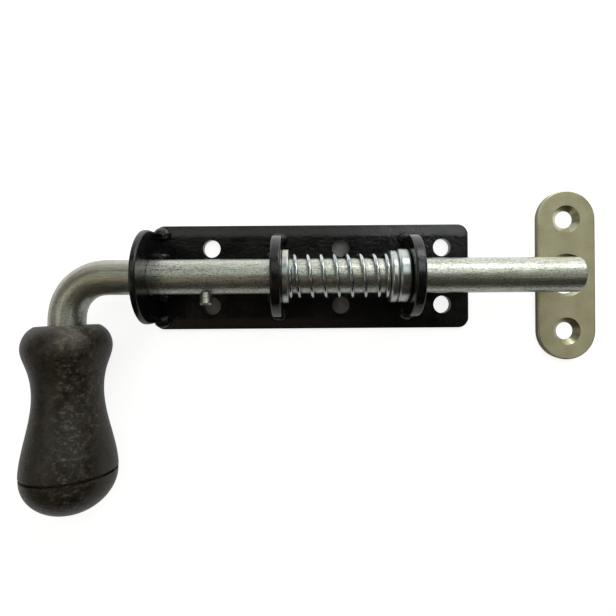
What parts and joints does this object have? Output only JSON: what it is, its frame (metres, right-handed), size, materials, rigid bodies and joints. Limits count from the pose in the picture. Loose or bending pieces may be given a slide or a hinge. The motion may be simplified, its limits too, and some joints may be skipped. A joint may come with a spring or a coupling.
{
  "type": "spring bolt",
  "caption": "Spring-loaded round bolt in eared guides on a flat screw-on base plate, with a bent leg carrying a pear-shaped grip, and an oblong strike plate.",
  "frame": {"origin": "centre of the base plate's back face, on the mounting plane", "axes": "+X along the bolt towards its tip, +Y across the plate away from the handle's leg, +Z out of the mounting plane"},
  "size_m": [0.2672, 0.1455, 0.0417],
  "materials": {
    "black_powder_coat": "satin powder coat",
    "bright_zinc": "bright zinc plate",
    "zinc_bar": "drawn bar, zinc plated",
    "grip_plastic": "mottled semi-matt",
    "yellowish_zinc": "satin, yellowish zinc plate"
  },
  "bodies": {
    "base": {"base_plate": "black_powder_coat", "handle_end_ear": "black_powder_coat", "middle_ear": "black_powder_coat", "bolt_end_ear": "black_powder_coat", "ear_washer": "bright_zinc", "spring": "bright_zinc", "strike_plate": "yellowish_zinc"},
    "spring_seat": {"seat_washer": "bright_zinc"},
    "bolt": {"bolt_rod": "zinc_bar", "thrust_collar": "bright_zinc", "stop_pin": "zinc_bar", "grip": "grip_plastic", "grip_end_cap": "grip_plastic"}
  },
  "joints": [
    {"name": "bolt_slide", "type": "slide", "parent": "base", "child": "spring_seat", "axis": [1, 0, 0], "range_m": [-0.0222, 0], "stiffness_N_per_m": 2300, "springref_m": 0.0156, "deforming": ["spring"]},
    {"name": "handle_turn", "type": "hinge", "parent": "spring_seat", "child": "bolt", "pos_m": [0, 0, 0.018], "axis": [-1, 0, 0], "range_deg": [0, 175.4]}
  ]
}
